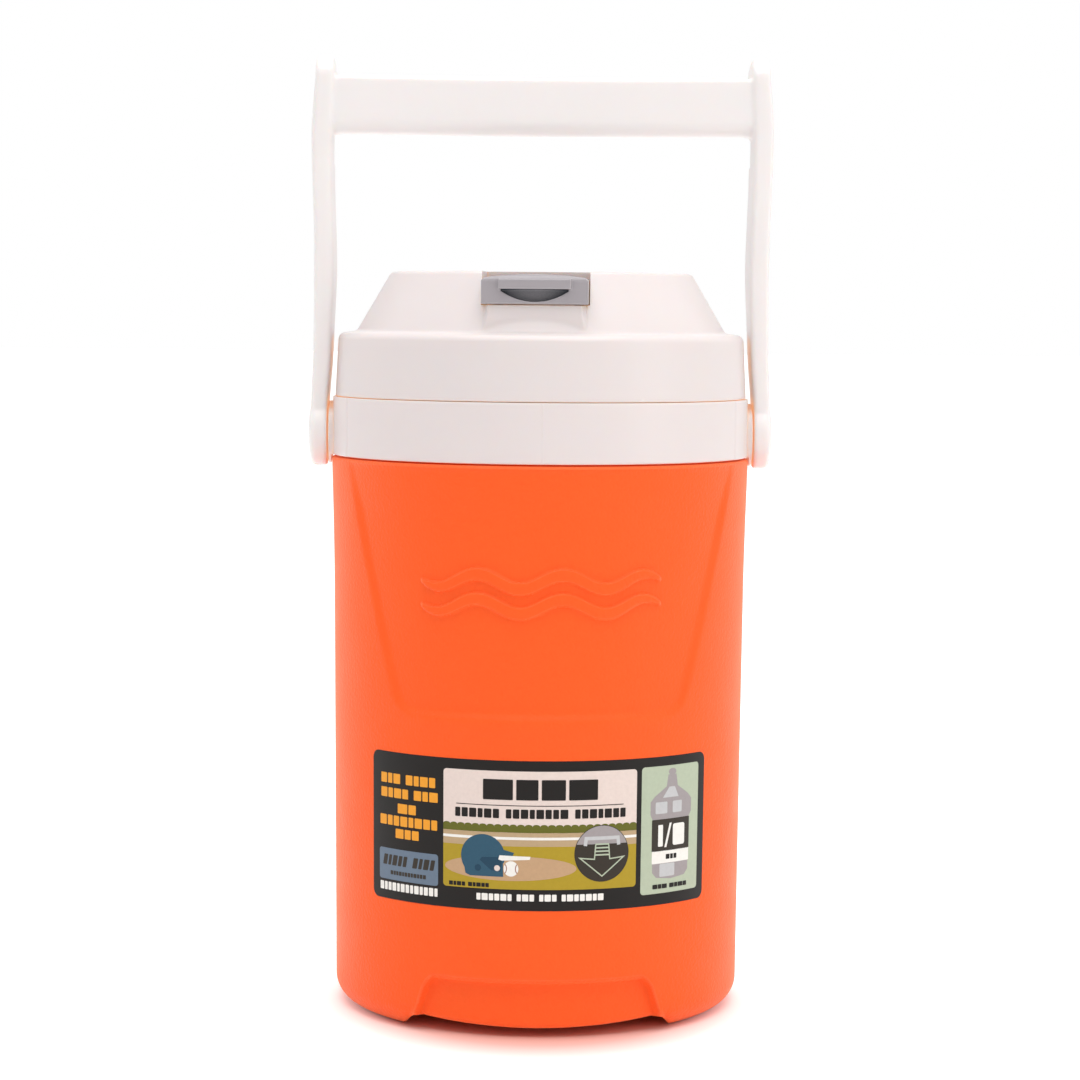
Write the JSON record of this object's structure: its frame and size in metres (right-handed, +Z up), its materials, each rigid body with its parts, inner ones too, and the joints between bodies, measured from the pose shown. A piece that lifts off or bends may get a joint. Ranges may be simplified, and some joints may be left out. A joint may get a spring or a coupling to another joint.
{
  "type": "insulated drinking jug",
  "caption": "Insulated cylindrical drinking jug with foam-filled body, screw lid, flip-up spout cap and swinging carry handle with fence hooks.",
  "frame": {"origin": "centre of the jug's axis on the floor plane", "axes": "+Z up along the jug's axis, -Y towards the front with the label and spout, +X to the viewer's right, through the handle pivots"},
  "size_m": [0.1634, 0.1468, 0.3333],
  "materials": {
    "body_plastic": "satin orange polyethylene with a fine moulded grain",
    "plug_plastic": "smooth orange plug",
    "foam": "cream rigid foam",
    "liner_plastic": "smooth white food-safe plastic",
    "white_plastic": "warm white, semi-gloss",
    "lid_plastic": "warm white, semi-gloss",
    "handle_plastic": "warm white, semi-gloss",
    "label_film": "printed film, near-black border with cream, green and grey fields",
    "cap_plastic": "mid grey, satin",
    "pin_steel": "plain drawn wire",
    "seal_rubber": "soft off-white seal"
  },
  "bodies": {
    "jug": {"outer_shell": "body_plastic", "base_plug": "plug_plastic", "foam_insulation": "foam", "inner_liner": "liner_plastic", "collar": "white_plastic", "label": "label_film"},
    "carry_handle": {"handle": "handle_plastic"},
    "gasket_ring": {"lid_gasket": "seal_rubber"},
    "lid": {"lid_outer": "lid_plastic", "lid_inner": "liner_plastic", "lid_foam": "foam", "drinking_spout": "lid_plastic", "cap_hinge_pin": "pin_steel"},
    "flip_cap": {"spout_cap": "cap_plastic", "cap_seal": "seal_rubber"}
  },
  "joints": [
    {"name": "handle_swing", "type": "hinge", "parent": "jug", "child": "carry_handle", "pos_m": [0, 0, 0.2013], "axis": [1, 0, 0], "range_deg": [-125, 125]},
    {"name": "lid_rise", "type": "slide", "parent": "jug", "child": "gasket_ring", "axis": [0, 0, 1], "range_m": [0, 0.031]},
    {"name": "lid_turn", "type": "hinge", "parent": "gasket_ring", "child": "lid", "pos_m": [0, 0, 0.22], "axis": [0, 0, 1], "range_deg": [0, 900]},
    {"name": "cap_flip", "type": "hinge", "parent": "lid", "child": "flip_cap", "pos_m": [-0.00119, -0.02517, 0.2528], "axis": [-0.9989, 0.0471, 0], "range_deg": [0, 105]}
  ],
  "couplings": [
    {"joint": "lid_rise", "follows": "lid_turn", "m_per_rad": 0.0019099}
  ]
}
